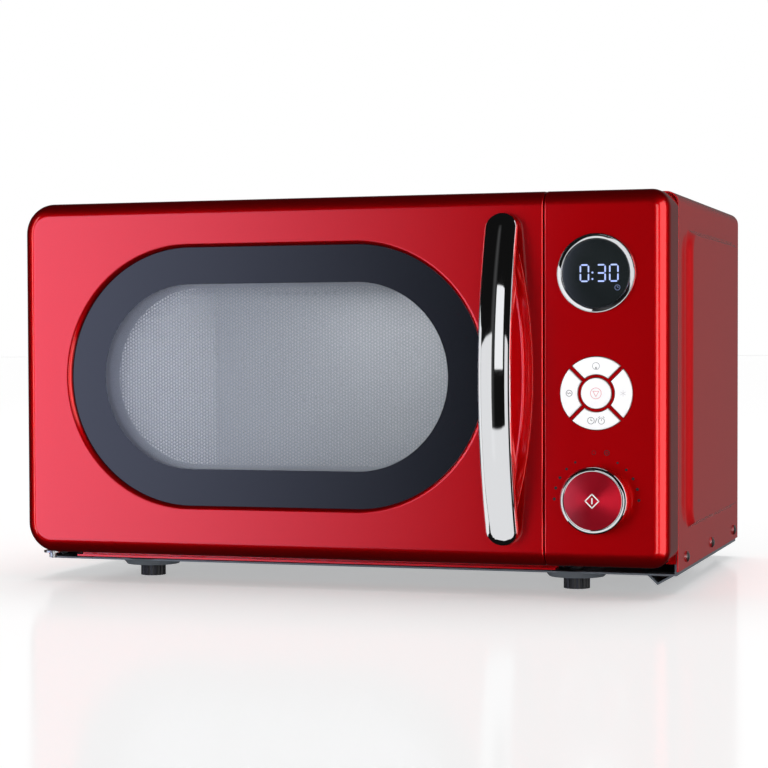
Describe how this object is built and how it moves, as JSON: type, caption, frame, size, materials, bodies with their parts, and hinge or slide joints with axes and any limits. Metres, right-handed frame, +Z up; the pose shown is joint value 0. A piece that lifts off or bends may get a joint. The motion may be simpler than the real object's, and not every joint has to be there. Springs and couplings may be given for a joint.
{
  "type": "microwave oven",
  "caption": "Retro countertop microwave oven: rounded red body, side-hinged door with a long round-ended window, bowed chrome handle, round display, key pad and knob.",
  "frame": {"origin": "centre of the object's bounding box in plan, on the plane that the feet stand on", "axes": "+X to the user's right when facing the door, the door faces -Y, +Z up"},
  "size_m": [0.448, 0.34, 0.2554],
  "materials": {
    "cabinet_red": "glossy enamel",
    "front_red": "candy red lacquer, high gloss",
    "knob_red": "candy red lacquer",
    "base_grey": "satin grey paint",
    "rear_steel": "galvanised sheet, satin",
    "bay_steel": "zinc plated",
    "chamber_enamel": "light grey enamel, satin",
    "chrome": "mirror chrome",
    "key_silver": "silver lacquer, satin",
    "window_glass": "tinted, polished",
    "display_glass": "smoked, polished",
    "tray_glass": "clear, polished",
    "screen_metal": "perforated sheet, satin",
    "black_plastic": "moulded black",
    "black_rubber": "matt rubber",
    "white_plastic": "natural nylon",
    "board_green": "solder mask",
    "mica": "mica sheet",
    "winding": "varnished laminations and wire",
    "fastener_steel": "bright steel",
    "lamp_white": "warm white glass and ceramic"
  },
  "bodies": {
    "cabinet": {"cabinet_wrap": "cabinet_red", "front_plate": "cabinet_red", "control_panel": "front_red", "base_plate": "base_grey", "rear_panel": "rear_steel", "waveguide": "rear_steel", "upper_hinge": "rear_steel", "lower_hinge": "rear_steel", "magnetron": "bay_steel", "turntable_motor": "bay_steel", "rotary_encoder": "bay_steel", "hv_capacitor": "bay_steel", "fan_motor": "bay_steel", "oven_cavity": "chamber_enamel", "display_bezel": "chrome", "cabinet_screws": "chrome", "display_lens": "display_glass", "display_module": "black_plastic", "tact_switches": "black_plastic", "hv_diode": "black_plastic", "interlock_switches": "black_plastic", "wall_spacers": "black_plastic", "thermal_cutouts": "black_plastic", "board_components": "black_plastic", "feet": "black_rubber", "cord_grommet": "black_rubber", "interlock_bracket": "white_plastic", "fan_shroud": "white_plastic", "control_board": "board_green", "noise_filter_board": "board_green", "waveguide_cover": "mica", "hv_transformer": "winding", "cavity_lamp": "lamp_white"},
    "door": {"door_frame": "front_red", "door_glass": "window_glass", "door_screen": "screen_metal", "choke_cover": "black_plastic", "handle": "chrome", "handle_screws": "fastener_steel", "door_bushes": "white_plastic", "latch_spring": "fastener_steel"},
    "latch": {"latch_hooks": "white_plastic"},
    "key_top": {"button_top": "key_silver"},
    "key_right": {"button_right": "key_silver"},
    "key_bottom": {"button_bottom": "key_silver"},
    "key_left": {"button_left": "key_silver"},
    "key_stop": {"button_stop": "key_silver"},
    "knob_plunger": {"encoder_plunger": "white_plastic"},
    "knob": {"encoder_shaft": "fastener_steel", "knob_skirt": "knob_red", "knob_ring": "chrome", "knob_cap": "knob_red"},
    "turntable_drive": {"drive_coupler": "white_plastic"},
    "tray": {"glass_tray": "tray_glass"},
    "ring": {"roller_ring": "white_plastic"},
    "roller_a": {"roller_1": "white_plastic"},
    "roller_b": {"roller_2": "white_plastic"},
    "roller_c": {"roller_3": "white_plastic"},
    "fan": {"fan_blade": "black_plastic"}
  },
  "joints": [
    {"name": "door_hinge", "type": "hinge", "parent": "cabinet", "child": "door", "pos_m": [-0.209, -0.119, 0.1383], "axis": [0, 0, -1], "range_deg": [0, 100]},
    {"name": "latch_lift", "type": "slide", "parent": "door", "child": "latch", "axis": [0, 0, 1], "range_m": [0, 0.0045], "stiffness_N_per_m": 300, "deforming": ["latch_spring"]},
    {"name": "press_top", "type": "slide", "parent": "cabinet", "child": "key_top", "axis": [0, 1, 0], "range_m": [0, 0.001], "stiffness_N_per_m": 600},
    {"name": "press_right", "type": "slide", "parent": "cabinet", "child": "key_right", "axis": [0, 1, 0], "range_m": [0, 0.001], "stiffness_N_per_m": 600},
    {"name": "press_bottom", "type": "slide", "parent": "cabinet", "child": "key_bottom", "axis": [0, 1, 0], "range_m": [0, 0.001], "stiffness_N_per_m": 600},
    {"name": "press_left", "type": "slide", "parent": "cabinet", "child": "key_left", "axis": [0, 1, 0], "range_m": [0, 0.001], "stiffness_N_per_m": 600},
    {"name": "press_stop", "type": "slide", "parent": "cabinet", "child": "key_stop", "axis": [0, 1, 0], "range_m": [0, 0.001], "stiffness_N_per_m": 600},
    {"name": "knob_press", "type": "slide", "parent": "cabinet", "child": "knob_plunger", "axis": [0, 1, 0], "range_m": [0, 0.001], "stiffness_N_per_m": 1200},
    {"name": "knob_turn", "type": "hinge", "parent": "knob_plunger", "child": "knob", "pos_m": [0.1749, -0.146, 0.062], "axis": [0, 1, 0], "continuous": true},
    {"name": "turntable_spin", "type": "hinge", "parent": "cabinet", "child": "turntable_drive", "pos_m": [-0.044, 0.026, 0.04], "axis": [0, 0, 1], "continuous": true},
    {"name": "tray_lift_off", "type": "slide", "parent": "turntable_drive", "child": "tray", "axis": [0, 0, 1], "range_m": [0, 0.03]},
    {"name": "ring_spin", "type": "hinge", "parent": "cabinet", "child": "ring", "pos_m": [-0.044, 0.026, 0.04515], "axis": [0, 0, 1], "continuous": true},
    {"name": "roller_a_spin", "type": "hinge", "parent": "ring", "child": "roller_a", "pos_m": [-0.044, 0.1235, 0.04515], "axis": [0, 1, 0], "continuous": true},
    {"name": "roller_b_spin", "type": "hinge", "parent": "ring", "child": "roller_b", "pos_m": [-0.12844, -0.02275, 0.04515], "axis": [-0.866, -0.5, 0], "continuous": true},
    {"name": "roller_c_spin", "type": "hinge", "parent": "ring", "child": "roller_c", "pos_m": [0.04044, -0.02275, 0.04515], "axis": [0.866, -0.5, 0], "continuous": true},
    {"name": "fan_spin", "type": "hinge", "parent": "cabinet", "child": "fan", "pos_m": [0.163, 0.13, 0.177], "axis": [0, 1, 0], "continuous": true}
  ],
  "couplings": [
    {"joint": "ring_spin", "follows": "turntable_spin", "ratio": 0.5},
    {"joint": "roller_a_spin", "follows": "turntable_spin", "ratio": -6.9643},
    {"joint": "roller_b_spin", "follows": "turntable_spin", "ratio": -6.9643},
    {"joint": "roller_c_spin", "follows": "turntable_spin", "ratio": -6.9643}
  ]
}
